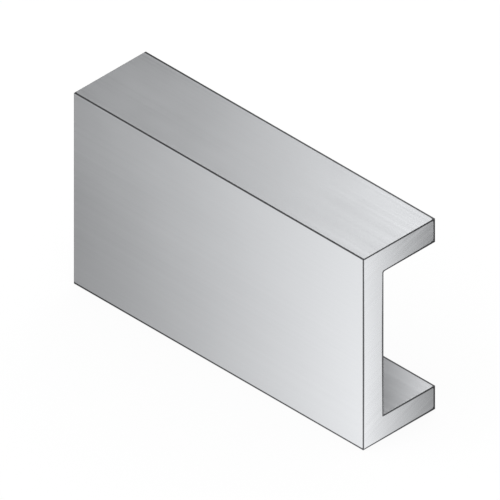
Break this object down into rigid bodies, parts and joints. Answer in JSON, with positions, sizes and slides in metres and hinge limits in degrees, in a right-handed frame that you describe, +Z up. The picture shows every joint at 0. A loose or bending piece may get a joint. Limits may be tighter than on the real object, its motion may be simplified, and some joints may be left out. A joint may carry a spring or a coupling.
{
  "type": "c-channel",
  "caption": "Short straight length of extruded aluminium channel: an upright flat web with parallel flanges on one side and square sawn ends. For frames, edging and tracks.",
  "frame": {"origin": "on the floor, under the middle of the bar's bounding box", "axes": "+X runs along the bar, +Y from the back of the web to the toes of the flanges, +Z up from the lower flange to the upper flange"},
  "size_m": [0.0888, 0.0222, 0.0508],
  "materials": {
    "mill_aluminium": "bare mill finish: satin, with fine lines along the bar from the die and saw marks across the ends"
  },
  "bodies": {
    "root": {"c_channel": "mill_aluminium"}
  },
  "joints": []
}
